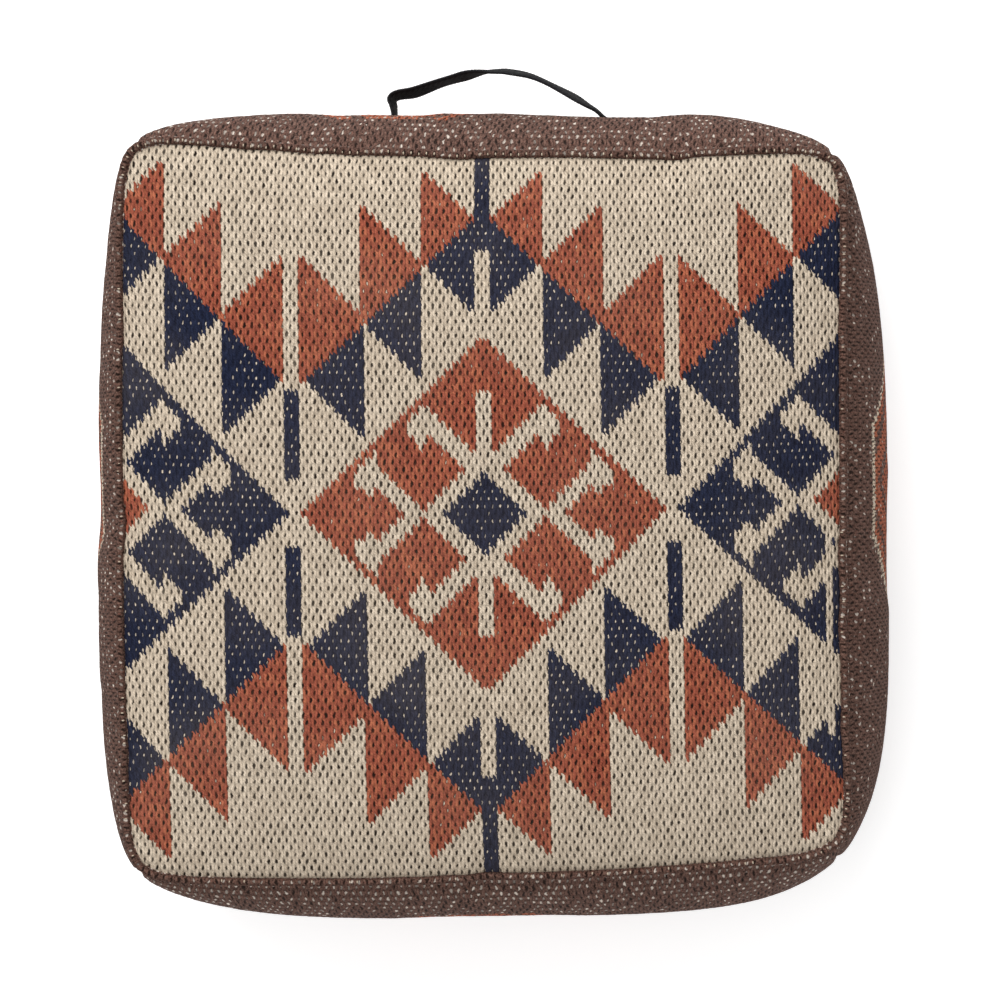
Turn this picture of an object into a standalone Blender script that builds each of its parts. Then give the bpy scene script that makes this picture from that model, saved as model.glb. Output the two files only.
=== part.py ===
"""A square floor pouf: woven cover, padded filling, webbing handle and zipped base.

The pouf lies on its base with the patterned face up. Z = 0 is the floor, the
handle is on the +Y side, and the origin is under the middle of the whole box,
handle included. Lengths are metres.
"""

import math

import bmesh
import bpy
from mathutils import Vector

# Cover
SEAM_HALF = 0.2635          # half the width of the face, seam to seam
SIDE_SWELL = 0.0365         # how far the sides belly out past the seams
HEIGHT = 0.210              # floor to the crown of the face
TOP_SEAM_Z = 0.190
BASE_SEAM_Z = 0.016
SEAM_CORNER = 20.0          # squareness of the seam outline's corners
BELLY_CORNER = 6.9          # squareness of the outline at half height
FLAT_SHARE = 0.83           # share of the base that lies flat on the floor
CLOTH = 0.0025              # woven cover cloth
SEAM_ROLL_RADIUS = 0.0030   # turned seam edge
GAP = 0.0003                # between pieces that touch

# Filling, each layer as an inset from the cover's outer face
LINER_INSET = 0.0055
LINER_CLOTH = 0.0010
WADDING_INSET = 0.0110
WADDING = 0.0200
INNER_LIFT = 0.0060         # extra room over the zip
CORE_HALF = 0.2100
CORE_BOTTOM = 0.0420
CORE_TOP = 0.1540
CORE_ROUND = 0.0120

# Handle
WEBBING_WIDTH = 0.0250
WEBBING = 0.0030
HANDLE_REACH = 0.0345       # side of the pouf to the outside of the loop
HANDLE_Z = (TOP_SEAM_Z + BASE_SEAM_Z) / 2
HINGE_OUT = 0.0075          # hinge line, out from the side
HINGE_TONGUE = 0.0030       # half width of the strap where it turns
SEWN_LENGTH = 0.0320
LOOP_LEFT = -0.0750
LOOP_RIGHT = 0.0780
THREAD = 0.0010
PATCH = 0.0015
PATCH_SPREAD = 0.0060
PATCH_BEHIND = 0.0010       # leaves room for the cloth's facets

# Zip, lying along X in a slot across the base
SLOT_HALF = 0.0070
ZIP_HALF = 0.2080
COIL_NEAR = 0.0009
COIL_FAR = 0.0036
COIL_LOW = 0.0052
COIL_HIGH = 0.0074
TAPE_WIDTH = 0.0160
TAPE = 0.0008
SLIDER_LENGTH = 0.0110
SLIDER_HALF = 0.0050
SLIDER_PLATE = 0.0008
SLIDER_LOW = 0.0041
SLIDER_TRAVEL = 0.3700
PULL_Z = 0.0031             # hinge line of the pull tab
PULL_LENGTH = 0.0240
PULL_WIDTH = 0.0062
PULL_THICK = 0.0010
STOP_LENGTH = 0.0030

BODY_Y = -HANDLE_REACH / 2
SEGMENTS = 16               # columns on each side of the cover
SIDES = {"front": -90, "right": 0, "back": 90, "left": 180}


def clear_scene():
    for thing in list(bpy.data.objects):
        bpy.data.objects.remove(thing, do_unlink=True)


def new_collection(name):
    collection = bpy.data.collections.new(name)
    bpy.context.scene.collection.children.link(collection)
    return collection


def material(name, colour, roughness=0.9, metallic=0.0):
    made = bpy.data.materials.new(name)
    made.use_nodes = True
    shader = made.node_tree.nodes["Principled BSDF"]
    shader.inputs["Base Color"].default_value = (*colour, 1.0)
    shader.inputs["Roughness"].default_value = roughness
    shader.inputs["Metallic"].default_value = metallic
    made.diffuse_color = (*colour, 1.0)
    return made


def add_object(name, mesh, finish, parent=None):
    thing = bpy.data.objects.new(name, mesh)
    mesh.materials.clear()
    mesh.materials.append(finish)
    parts.objects.link(thing)
    thing.parent = parent
    return thing


def mesh_from(bm, name):
    mesh = bpy.data.meshes.new(name)
    bm.to_mesh(mesh)
    bm.free()
    return mesh


def swell(level):
    """0 at the seams (level 0 and 1) and 1 at half height."""
    return max(0.0, 4 * level * (1 - level)) ** 0.8


def outline(along, half, squareness):
    """A point of a rounded square's +X side; along runs from -1 to 1, corner to corner."""
    reach = half / (1 + abs(along) ** squareness) ** (1 / squareness)
    return Vector((reach, along * reach, 0))


def spread(share):
    """Evenly stepped -1..1 turned into -1..1 that is closer stepped at the corners."""
    return math.sin(math.pi / 2 * share)


class Layer:
    """One skin of the pouf: the cover's outer face, or a face inset from it."""

    def __init__(self, inset=0.0, lift=0.0):
        self.inset = inset
        self.low = BASE_SEAM_Z + inset + lift
        self.high = TOP_SEAM_Z - inset
        self.floor = inset + lift

    def side(self, side, along, level):
        half = SEAM_HALF + SIDE_SWELL * swell(level) - self.inset
        blend = max(0.0, 4 * level * (1 - level)) ** 0.6
        squareness = SEAM_CORNER + (BELLY_CORNER - SEAM_CORNER) * blend
        point = outline(along, half, squareness)
        angle = math.radians(SIDES[side])
        turned = Vector(
            (
                point.x * math.cos(angle) - point.y * math.sin(angle),
                point.x * math.sin(angle) + point.y * math.cos(angle),
                self.low + (self.high - self.low) * level,
            )
        )
        return turned + Vector((0, BODY_Y, 0))

    def plan(self, across, along, shrink):
        """A point inside the seam outline; across and along run from -1 to 1."""
        largest = max(abs(across), abs(along), 1e-9)
        least = min(abs(across), abs(along))
        reach = outline(least / largest, SEAM_HALF - self.inset, SEAM_CORNER).x - shrink
        return Vector((across * reach, along * reach + BODY_Y, 0))

    def top(self, across, along, shrink):
        point = self.plan(across, along, shrink)
        fall = (1 - across**4) * (1 - along**4)
        point.z = self.high + (HEIGHT - TOP_SEAM_Z) * max(0.0, fall) ** 0.75
        return point

    def base(self, across, along, shrink):
        point = self.plan(across, along, shrink)
        kept = 1.0
        for share in (abs(across), abs(along)):
            kept *= 1 - (max(0.0, share - FLAT_SHARE) / (1 - FLAT_SHARE)) ** 2
        point.z = self.floor + (self.low - self.floor) * (1 - kept)
        return point


def sheet(name, columns, rows, place, thickness, finish, close=False):
    """A grid bent by place(u, v), u and v from -1 to 1, and given its thickness inwards."""
    bm = bmesh.new()
    bmesh.ops.create_grid(bm, x_segments=columns, y_segments=rows, size=1.0)
    for vertex in bm.verts:
        vertex.co = place(vertex.co.x, vertex.co.y)
    if close:
        bmesh.ops.remove_doubles(bm, verts=bm.verts, dist=0.0001)
    bm.normal_update()
    middle = Vector((0, BODY_Y, HEIGHT / 2))
    facing = sum(f.normal.dot(f.calc_center_median() - middle) for f in bm.faces)
    if facing < 0:
        bmesh.ops.reverse_faces(bm, faces=bm.faces)
    thing = add_object(name, mesh_from(bm, name), finish)
    solid = thing.modifiers.new("Thickness", "SOLIDIFY")
    solid.thickness = thickness
    solid.offset = -1.0
    solid.use_even_offset = True
    return thing


def block(name, low, high, finish, parent=None, round_edges=0.0):
    """A box between two corners. Its origin is the parent's when it has one."""
    bm = bmesh.new()
    bmesh.ops.create_cube(bm, size=1.0)
    low, high = Vector(low), Vector(high)
    for vertex in bm.verts:
        share = vertex.co + Vector((0.5, 0.5, 0.5))
        vertex.co = Vector(low[i] + (high[i] - low[i]) * share[i] for i in range(3))
    thing = add_object(name, mesh_from(bm, name), finish, parent)
    if round_edges:
        bevel = thing.modifiers.new("Rounded", "BEVEL")
        bevel.width = round_edges
        bevel.segments = 2
    return thing


def unite(thing, others):
    """Joins boxes to a thing by Boolean union and removes them."""
    for other in others:
        cutters.objects.link(other)
        parts.objects.unlink(other)
        other.hide_render = True
        other.display_type = "WIRE"
        union = thing.modifiers.new("Join " + other.name, "BOOLEAN")
        union.operation = "UNION"
        union.object = other
    return thing


def smooth_path(points, steps):
    """A Catmull-Rom curve through the points, without repeating any."""
    padded = [2 * points[0] - points[1], *points, 2 * points[-1] - points[-2]]
    path = []
    for a, b, c, d in zip(padded, padded[1:], padded[2:], padded[3:]):
        for step in range(steps):
            s = step / steps
            path.append(
                0.5
                * (
                    2 * b
                    + (c - a) * s
                    + (2 * a - 5 * b + 4 * c - d) * s**2
                    + (3 * b - a - 3 * c + d) * s**3
                )
            )
    return [*path, points[-1]]


def make_cover():
    skin = Layer()
    sheet(
        "top_panel",
        SEGMENTS,
        SEGMENTS,
        lambda u, v: skin.top(spread(u), spread(v), SEAM_ROLL_RADIUS + 2 * GAP),
        CLOTH,
        FACE_CLOTH,
    )
    corner_gap = 0.0050
    low_level, high_level = 0.035, 0.970
    for side in SIDES:
        sheet(
            "side_panel_" + side,
            SEGMENTS,
            8,
            lambda u, v, side=side: skin.side(
                side,
                spread(u) * (1 - corner_gap),
                low_level + (high_level - low_level) * (v + 1) / 2,
            ),
            CLOTH,
            SIDE_CLOTH,
        )
    for name, height in (("top_seam_roll", TOP_SEAM_Z), ("base_seam_roll", BASE_SEAM_Z)):
        seam_roll(name, height)


def seam_roll(name, height):
    """The turned edge that runs round a seam, as a closed tube."""
    curve = bpy.data.curves.new(name, "CURVE")
    curve.dimensions = "3D"
    curve.bevel_depth = SEAM_ROLL_RADIUS
    curve.bevel_resolution = 1
    points = []
    for angle in (0, 90, 180, 270):
        turn = math.radians(angle)
        for step in range(SEGMENTS):
            point = outline(spread(2 * step / SEGMENTS - 1), SEAM_HALF, SEAM_CORNER)
            x = point.x * math.cos(turn) - point.y * math.sin(turn)
            y = point.x * math.sin(turn) + point.y * math.cos(turn)
            points.append(Vector((x, y + BODY_Y, height)))
    line = curve.splines.new("POLY")
    line.points.add(len(points) - 1)
    for knot, point in zip(line.points, points):
        knot.co = (*point, 1.0)
    line.use_cyclic_u = True
    add_object(name, curve, SIDE_CLOTH)


def make_base():
    skin = Layer()
    slot = SLOT_HALF / (SEAM_HALF - SEAM_ROLL_RADIUS)
    end = (ZIP_HALF + 2 * STOP_LENGTH) / SEAM_HALF
    shrink = SEAM_ROLL_RADIUS + 4 * GAP
    for name, way in (("base_panel_front", -1), ("base_panel_back", 1)):
        sheet(
            name,
            SEGMENTS,
            6,
            lambda u, v, way=way: skin.base(
                spread(u), way * (slot + (1 - slot) * math.sin(math.pi / 4 * (v + 1))), shrink
            ),
            CLOTH,
            BASE_CLOTH,
        )
    closing = slot * (1 - 2 * GAP / SLOT_HALF)
    for name, way in (("zip_end_left", -1), ("zip_end_right", 1)):
        sheet(
            name,
            4,
            1,
            lambda u, v, way=way: skin.base(
                way * (end + (1 - end) * (u + 1) / 2), closing * v, shrink
            ),
            CLOTH,
            BASE_CLOTH,
        )


def make_zip():
    """Facings, tapes, coils and end stops. The two coils stand apart for the slider's post."""
    facing_low = CLOTH + 2 * GAP
    facing_high = COIL_HIGH
    tape_low = COIL_HIGH + GAP
    for name, way in (("front", -1), ("back", 1)):

        def strip(kind, near, far, low, high, finish, way=way, name=name):
            ends = sorted((way * near, way * far))
            block(
                f"zip_{kind}_{name}",
                (-ZIP_HALF, BODY_Y + ends[0], low),
                (ZIP_HALF, BODY_Y + ends[1], high),
                finish,
            )

        strip("facing", SLOT_HALF, SLOT_HALF + 0.010, facing_low, facing_high, BASE_CLOTH)
        strip("tape", COIL_NEAR, TAPE_WIDTH, tape_low, tape_low + TAPE, TAPE_CLOTH)
        strip("coil", COIL_NEAR, COIL_FAR, COIL_LOW, COIL_HIGH, NYLON)
    for name, way in (("left", -1), ("right", 1)):
        middle = way * (ZIP_HALF + GAP + STOP_LENGTH / 2)
        block(
            "zip_stop_" + name,
            (middle - STOP_LENGTH / 2, BODY_Y - COIL_FAR, COIL_LOW),
            (middle + STOP_LENGTH / 2, BODY_Y + COIL_FAR, COIL_HIGH),
            STEEL,
            round_edges=0.0004,
        )


def make_slider():
    """Slider and pull tab, each under an empty on its own joint."""
    slide = bpy.data.objects.new("slider_joint", None)
    slide.location = (SLIDER_TRAVEL / 2, BODY_Y, 0)
    parts.objects.link(slide)
    half = SLIDER_LENGTH / 2
    inner = COIL_HIGH + 2 * GAP + TAPE + GAP
    slider = block(
        "zip_slider",
        (-half, -SLIDER_HALF, SLIDER_LOW),
        (half, SLIDER_HALF, SLIDER_LOW + SLIDER_PLATE),
        STEEL,
        slide,
    )
    bridge_low = PULL_Z - 0.0016
    bridge_bar = 0.0007
    extras = [
        ("slider_inner_plate", (-half, -SLIDER_HALF, inner), (half, SLIDER_HALF, inner + SLIDER_PLATE)),
        ("slider_post", (half - 0.0030, -0.0005, SLIDER_LOW), (half, 0.0005, inner + SLIDER_PLATE)),
        ("bridge_leg_a", (-0.0034, -0.0008, bridge_low), (-0.0022, 0.0008, SLIDER_LOW + 0.0004)),
        ("bridge_leg_b", (0.0022, -0.0008, bridge_low), (0.0034, 0.0008, SLIDER_LOW + 0.0004)),
        ("bridge_bar", (-0.0034, -0.0008, bridge_low), (0.0034, 0.0008, bridge_low + bridge_bar)),
    ]
    unite(slider, [block(name, low, high, STEEL, slide) for name, low, high in extras])

    hinge = bpy.data.objects.new("pull_joint", None)
    hinge.location = (0, 0, PULL_Z)
    hinge.parent = slide
    parts.objects.link(hinge)
    thick = PULL_THICK / 2
    wide = PULL_WIDTH / 2
    arm = 0.0012
    pull = block("zip_pull", (0.0055, -wide, -thick), (PULL_LENGTH, wide, thick), STEEL, hinge)
    arms = [
        block("pull_arm_a", (-thick, -wide, -thick), (0.0060, arm - wide, thick), STEEL, hinge),
        block("pull_arm_b", (-thick, wide - arm, -thick), (0.0060, wide, thick), STEEL, hinge),
        block("pull_bar", (-thick, -wide, -thick), (thick, wide, thick), STEEL, hinge),
    ]
    unite(pull, arms)


def make_handle():
    side_y = BODY_Y + SEAM_HALF + SIDE_SWELL
    hinge_y = side_y + HINGE_OUT
    joint = bpy.data.objects.new("handle_joint", None)
    joint.location = (0, hinge_y, HANDLE_Z)
    parts.objects.link(joint)

    crown = HANDLE_REACH - WEBBING / 2
    root = HINGE_OUT - 0.0010
    route = [
        (LOOP_LEFT, root),
        (LOOP_LEFT - 0.0030, 0.0100),
        (-0.0680, 0.0140),
        (-0.0400, 0.0240),
        (-0.0140, 0.0310),
        (0.0030, crown),
        (0.0300, 0.0280),
        (0.0550, 0.0160),
        (LOOP_RIGHT - 0.0060, root),
    ]
    path = smooth_path([Vector((x, out - HINGE_OUT, 0)) for x, out in route], 5)
    curve = bpy.data.curves.new("webbing_route", "CURVE")
    curve.dimensions = "2D"
    curve.fill_mode = "NONE"
    curve.extrude = WEBBING_WIDTH / 2
    line = curve.splines.new("POLY")
    line.points.add(len(path) - 1)
    for knot, point in zip(line.points, path):
        knot.co = (*point, 1.0)
    ribbon = bpy.data.objects.new("webbing_route", curve)
    cutters.objects.link(ribbon)
    bpy.context.view_layer.update()
    graph = bpy.context.evaluated_depsgraph_get()
    mesh = bpy.data.meshes.new_from_object(ribbon.evaluated_get(graph))
    bpy.data.objects.remove(ribbon, do_unlink=True)
    for vertex in mesh.vertices:
        allowed = HINGE_TONGUE + max(0.0, vertex.co.y)
        vertex.co.z = max(-allowed, min(allowed, vertex.co.z))
    strap = add_object("handle_strap", mesh, WEBBING_CLOTH, joint)
    solid = strap.modifiers.new("Thickness", "SOLIDIFY")
    solid.thickness = WEBBING
    solid.offset = 0.0
    solid.use_even_offset = True

    half_height = WEBBING_WIDTH / 2
    sewn = {
        "left": (LOOP_LEFT - SEWN_LENGTH, LOOP_LEFT),
        "right": (LOOP_RIGHT, LOOP_RIGHT + SEWN_LENGTH),
    }
    for name, (start, stop) in sewn.items():
        side_patch("handle_end_" + name, start, stop, half_height, GAP + WEBBING, WEBBING, WEBBING_CLOTH)
        side_patch(
            "handle_patch_" + name,
            start - PATCH_SPREAD,
            stop + PATCH_SPREAD,
            half_height + PATCH_SPREAD,
            -CLOTH - PATCH_BEHIND,
            PATCH,
            LINER,
        )
        box_stitch("handle_stitch_" + name, start, stop, half_height)


def side_surface(x, height, out):
    """A point over the back side, that far out from the cloth."""
    skin = Layer()
    level = (HANDLE_Z + height - skin.low) / (skin.high - skin.low)
    # The back side runs from +X to -X as it goes along.
    point = skin.side("back", -x / (SEAM_HALF + SIDE_SWELL), level)
    return point + Vector((0, out, 0))


def side_patch(name, start, stop, half_height, out, thickness, finish):
    sheet(
        name,
        4,
        4,
        lambda u, v: side_surface(start + (stop - start) * (u + 1) / 2, half_height * v, out),
        thickness,
        finish,
    )


def box_stitch(name, start, stop, half_height):
    """A sewn box with a cross in it, over one end of the webbing."""
    margin = 0.0040
    lift = GAP + WEBBING + GAP + THREAD
    bm = bmesh.new()
    bmesh.ops.create_grid(bm, x_segments=1, y_segments=1, size=1.0)
    bmesh.ops.poke(bm, faces=bm.faces)
    for vertex in bm.verts:
        x = (start + stop) / 2 + vertex.co.x * ((stop - start) / 2 - margin)
        vertex.co = side_surface(x, vertex.co.y * (half_height - margin), lift)
    thing = add_object(name, mesh_from(bm, name), THREAD_COLOUR)
    wire = thing.modifiers.new("Thread", "WIREFRAME")
    wire.thickness = THREAD
    wire.use_boundary = True
    wire.use_even_offset = True


def make_filling():
    liner = Layer(LINER_INSET, INNER_LIFT)
    wadding = Layer(WADDING_INSET, INNER_LIFT)
    for stem, skin, thickness, edge, finish in (
        ("liner", liner, LINER_CLOTH, 0.04, LINER),
        ("wadding", wadding, WADDING, 0.22, WADDING_WHITE),
    ):
        for place in ("top", "base"):
            sheet(
                f"{stem}_{place}",
                8,
                8,
                lambda u, v, form=getattr(skin, place): form(spread(u), spread(v), 0.002),
                thickness,
                finish,
            )
        sheet(
            stem + "_wrap",
            32,
            6,
            lambda u, v, skin=skin, edge=edge: around(skin, u, edge + (1 - 2 * edge) * (v + 1) / 2),
            thickness,
            finish,
            close=True,
        )
    block(
        "foam_core",
        (-CORE_HALF, BODY_Y - CORE_HALF, CORE_BOTTOM),
        (CORE_HALF, BODY_Y + CORE_HALF, CORE_TOP),
        FOAM,
        round_edges=CORE_ROUND,
    )


def around(skin, share, level):
    """A point on the sides, with share from -1 to 1 once round the pouf."""
    turn = (share + 1) / 2 * len(SIDES)
    number = min(int(turn + 1e-6), len(SIDES) - 1)
    along = spread(2 * (turn - number) - 1)
    return skin.side(list(SIDES)[number], along, level)


clear_scene()
parts = new_collection("woven_floor_pouf")
cutters = new_collection("cutters")

FACE_CLOTH = material("Patterned cloth", (0.31, 0.10, 0.062))
SIDE_CLOTH = material("Side cloth", (0.13, 0.078, 0.066))
BASE_CLOTH = material("Base cloth", (0.10, 0.066, 0.056))
WEBBING_CLOTH = material("Webbing", (0.032, 0.032, 0.034), 0.7)
THREAD_COLOUR = material("Thread", (0.05, 0.05, 0.052), 0.6)
TAPE_CLOTH = material("Zip tape", (0.06, 0.045, 0.04), 0.8)
NYLON = material("Zip coil", (0.05, 0.04, 0.036), 0.45)
STEEL = material("Zip metal", (0.35, 0.31, 0.26), 0.35, 1.0)
LINER = material("Liner cloth", (0.70, 0.68, 0.62))
WADDING_WHITE = material("Wadding", (0.86, 0.86, 0.84))
FOAM = material("Foam", (0.80, 0.76, 0.60), 0.95)

make_cover()
make_base()
make_zip()
make_slider()
make_handle()
make_filling()
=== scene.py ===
import math

import bmesh
import bpy
import numpy as np
from mathutils import Matrix, Vector


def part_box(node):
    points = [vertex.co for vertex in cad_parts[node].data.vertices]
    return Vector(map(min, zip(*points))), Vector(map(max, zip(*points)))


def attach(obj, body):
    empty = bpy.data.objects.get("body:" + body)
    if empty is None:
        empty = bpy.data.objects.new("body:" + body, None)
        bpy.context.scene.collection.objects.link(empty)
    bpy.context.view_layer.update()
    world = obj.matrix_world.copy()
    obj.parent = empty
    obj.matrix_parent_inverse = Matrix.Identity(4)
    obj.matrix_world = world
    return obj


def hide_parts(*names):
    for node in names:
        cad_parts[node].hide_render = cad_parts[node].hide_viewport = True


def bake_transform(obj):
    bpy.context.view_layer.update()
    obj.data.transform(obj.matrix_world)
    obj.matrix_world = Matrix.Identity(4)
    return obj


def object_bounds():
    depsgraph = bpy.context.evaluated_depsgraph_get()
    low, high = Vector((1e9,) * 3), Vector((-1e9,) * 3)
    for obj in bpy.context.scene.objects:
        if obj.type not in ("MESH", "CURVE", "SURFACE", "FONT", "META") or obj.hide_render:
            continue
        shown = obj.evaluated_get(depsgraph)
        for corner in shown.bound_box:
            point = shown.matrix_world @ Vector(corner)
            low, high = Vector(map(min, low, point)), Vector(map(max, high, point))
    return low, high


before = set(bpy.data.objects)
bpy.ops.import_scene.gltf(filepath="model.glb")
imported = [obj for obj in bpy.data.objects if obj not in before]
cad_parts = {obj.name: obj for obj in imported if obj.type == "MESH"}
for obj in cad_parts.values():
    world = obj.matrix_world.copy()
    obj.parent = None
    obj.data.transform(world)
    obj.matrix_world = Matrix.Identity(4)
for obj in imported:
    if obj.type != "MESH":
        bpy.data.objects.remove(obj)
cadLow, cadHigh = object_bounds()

rollLow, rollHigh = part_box("top_seam_roll")
baseRollLow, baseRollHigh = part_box("base_seam_roll")
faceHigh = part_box("top_panel")[1]
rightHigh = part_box("side_panel_right")[1]
strapLow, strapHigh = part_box("handle_strap")
rollRadius = (rollHigh.z - rollLow.z) / 2
seamHalf = (rollHigh.x - rollLow.x) / 2 - rollRadius
middleY = (rollHigh.y + rollLow.y) / 2

cover = {
    "topSeamZ": (rollHigh.z + rollLow.z) / 2,
    "baseSeamZ": (baseRollHigh.z + baseRollLow.z) / 2,
    "crownZ": faceHigh.z,
    "bellyHalf": rightHigh.x,
    "seamCorner": 20.0,     # squareness of the seam outline
    "bellyCorner": 6.9,     # squareness at half height
    "flatShare": 0.83,      # of the base, flat on the floor
    "shoulder": 0.080,      # height above which the seam's unevenness grows
    "floorGap": 0.0004,     # kept clear under the base
    "cageColumns": 40,
    "cageRows": 12,
    "pressure": 4.0,
    "slack": 0.010,         # cloth cut this much too big, so that it ripples
    "seamHold": 0.15,       # how firmly the top seam is held in place
    "steps": 24,
    "cap": 0.0030,          # furthest a point may drift in the simulation
}

weave = {
    "grainPitch": 0.00554,  # across, between neighbouring stitches of a row
    "rowPitch": 0.00544,    # along, between rows, which are offset by half a pitch
    "rowLean": 0.75,        # degrees that the rows are turned on the face
    "columnLean": 0.40,     # and the columns
    "shiftAcross": 1.00,    # pattern centre, in stitches from the face centre
    "shiftAlong": 0.40,
    # millimetres that the cloth is pulled across and along: even, by place, and bowed, where
    # place is counted from the pull's centre in steps of its reach
    "pull": ((0.4, 0.3, -0.3, 0.5, 0.1, 0.0), (-1.0, 0.6, 1.3, -0.6, 0.5, 0.1)),
    "pullCentre": (0.0035, 0.0025),
    "pullReach": 0.0723,
    "relief": 0.0011,
    "tall": {"front": 1.5, "back": 1.5, "left": 1.0, "right": 1.0},  # spacing of a side's rows
    "rim": 0.004,           # how deep the cloth's edges are turned in
    "meshAcross": 0.00118,  # mesh spacing of the cloth
    "meshAlong": 0.00138,
}

colours = {
    "cream": (0.910, 0.765, 0.600),
    "creamDark": (0.500, 0.400, 0.295),
    "terracotta": (0.520, 0.138, 0.080),
    "terracottaDark": (0.215, 0.047, 0.027),
    "ember": (0.640, 0.235, 0.105),
    "navy": (0.0210, 0.0285, 0.0640),
    "navyDark": (0.0065, 0.0085, 0.0220),
    "brown": (0.0900, 0.0440, 0.0330),
    "brownLight": (0.2500, 0.1430, 0.1100),
    # painted shade for the brown cloth's crevices and pits
    "brownPaintedShade": (0.0150, 0.0070, 0.0055),
    # near black, painted shade: the shadow in the holes and the crevices between strands
    "hole": (0.0110, 0.0070, 0.0050),
    "fleck": (0.860, 0.750, 0.650),
    "brass": (0.3500, 0.2600, 0.1400),
    "calico": (0.70, 0.67, 0.58),
}


class Term:
    # A shader socket that adds Math nodes to its sheet as it is used in sums
    def __init__(self, sheet, socket):
        self.sheet, self.socket = sheet, socket

    def math(self, operation, *others):
        values = {i: other for i, other in enumerate((self, *others))}
        return self.sheet.node("ShaderNodeMath", {"operation": operation}, values)

    def __rsub__(self, other):
        return (self * -1.0).math("ADD", other)

    def __abs__(self):
        return self.math("ABSOLUTE")


operators = {
    "__add__": "ADD", "__radd__": "ADD", "__sub__": "SUBTRACT", "__mul__": "MULTIPLY",
    "__rmul__": "MULTIPLY", "__truediv__": "DIVIDE", "__pow__": "POWER", "__gt__": "GREATER_THAN",
    "__lt__": "LESS_THAN", "__and__": "MULTIPLY", "__or__": "MAXIMUM",
}
for method, operation in operators.items():
    setattr(Term, method, lambda self, other, operation=operation: self.math(operation, other))


class Sheet:
    # One material's node tree, with its Principled shader
    def __init__(self, name, roughness=0.9, metallic=0.0, sheen=0.0):
        self.material = bpy.data.materials.new(name)
        self.material.use_nodes = True
        self.tree = self.material.node_tree
        self.shader = self.tree.nodes["Principled BSDF"]
        self.shader.inputs["Roughness"].default_value = roughness
        self.shader.inputs["Metallic"].default_value = metallic
        self.shader.inputs["Sheen Weight"].default_value = sheen
        self.shader.inputs["Sheen Roughness"].default_value = 0.6
        self.shader.inputs["Specular IOR Level"].default_value = 0.12 if roughness > 0.8 else 0.5

    def node(self, kind, settings=None, values=None, output=0):
        made = self.tree.nodes.new(kind)
        for name, value in (settings or {}).items():
            setattr(made, name, value)
        for name, value in (values or {}).items():
            socket = made.inputs[name]
            if isinstance(value, Term):
                self.tree.links.new(value.socket, socket)
            else:
                socket.default_value = (*value, 1) if socket.type == "RGBA" else value
        return Term(self, made.outputs[output])

    def feed(self, name, value):
        self.tree.links.new(value.socket, self.shader.inputs[name])

    def split(self, place):
        outputs = self.node("ShaderNodeSeparateXYZ", values={0: place}).socket.node.outputs
        return [Term(self, output) for output in outputs]

    def clothPlace(self):
        # Across and along, in stitches, from the piece's own UV map
        return self.split(self.node("ShaderNodeUVMap", {"uv_map": "cloth"}))[:2]

    def objectPlace(self):
        return self.node("ShaderNodeTexCoord", output=3)

    def vector(self, x, y, z=0.0):
        return self.node("ShaderNodeCombineXYZ", values={0: x, 1: y, 2: z})

    def mix(self, share, low, high):
        return self.node("ShaderNodeMix", {"data_type": "RGBA"}, {0: share, 6: low, 7: high}, 2)

    def noise(self, place, scale, detail=2.0, roughness=0.5):
        return self.node("ShaderNodeTexNoise", values={
            "Vector": place, "Scale": scale, "Detail": detail, "Roughness": roughness})

    def chance(self, place, seed=0.0):
        # A steady random number for each whole-numbered place
        return self.node("ShaderNodeTexWhiteNoise", {"noise_dimensions": "4D"}, {0: place, 1: seed})

    def span(self, value, low, high, outLow=0.0, outHigh=1.0):
        return self.node("ShaderNodeMapRange", {"interpolation_type": "SMOOTHSTEP"}, {
            0: value, 1: low, 2: high, 3: outLow, 4: outHigh})

    def bump(self, height, distance, strength=1.0):
        self.feed("Normal", self.node("ShaderNodeBump", values={
            "Height": height, "Distance": distance, "Strength": strength}))


def rounded(term):
    return term.math("ROUND")


def inside(term, low, high):
    return (term > low) & (term < high)


class Stitch:
    # The strand that a place on the cloth falls in. Strands are half a stitch wide and a row long,
    # and sway round the holes, which lie in alternate places from row to row
    def __init__(self, sheet, across, along):
        slant, counter = across + along * 0.5, across - along * 0.5
        self.holeSlant, self.holeCounter = rounded(slant - 0.5) + 0.5, rounded(counter - 0.5) + 0.5
        hu, hv = slant - self.holeSlant, counter - self.holeCounter
        self.holeAcross, self.holeAlong = (hu + hv) * 0.5, hu - hv
        self.holeLuck = sheet.chance(sheet.vector(self.holeSlant, self.holeCounter), 3.0)
        self.holeRow = self.holeSlant - self.holeCounter
        column = (across * 2.0).math("FLOOR")
        offset = across * 2.0 - column - 0.5
        # the strands' ends are pointed, one way and the other in turn
        point = (offset * offset * 4.0 - 0.45) * ((column * 0.5).math("FRACT") - 0.25)
        row = rounded(along + offset * 0.55 + point)
        self.centreAcross, self.centreAlong = column * 0.5 + 0.25, row
        parity = ((column + row) * 0.5).math("FRACT") * 4.0 - 1.0
        self.fromAlong = along - row
        sway = parity * (self.fromAlong * math.pi).math("COSINE") * 0.16
        self.fromAcross = offset - sway
        self.luck = sheet.chance(sheet.vector(column, row))
        body = (self.fromAcross * 2.6).math("COSINE").math("MAXIMUM", 0.0)
        ends = (self.fromAlong * 2.5).math("COSINE").math("MAXIMUM", 0.0)
        self.body = body * (ends * 0.55 + 0.45)

    def hole(self, sheet, wide, tall):
        leaning = self.holeAcross - self.holeAlong * 0.08
        reach = (leaning / wide) ** 2.0 + (self.holeAlong / tall) ** 2.0
        return sheet.span(reach, 0.25, 1.45, 1.0, 0.0)


pattern = {
    "repeat": 49.6,         # stitches from one medallion's centre to the next
    "zigzag": 41.0,
    "medallion": 24.0,
    "ring": (5.5, 8.5),
    "hookReach": 22.3,
}


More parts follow.
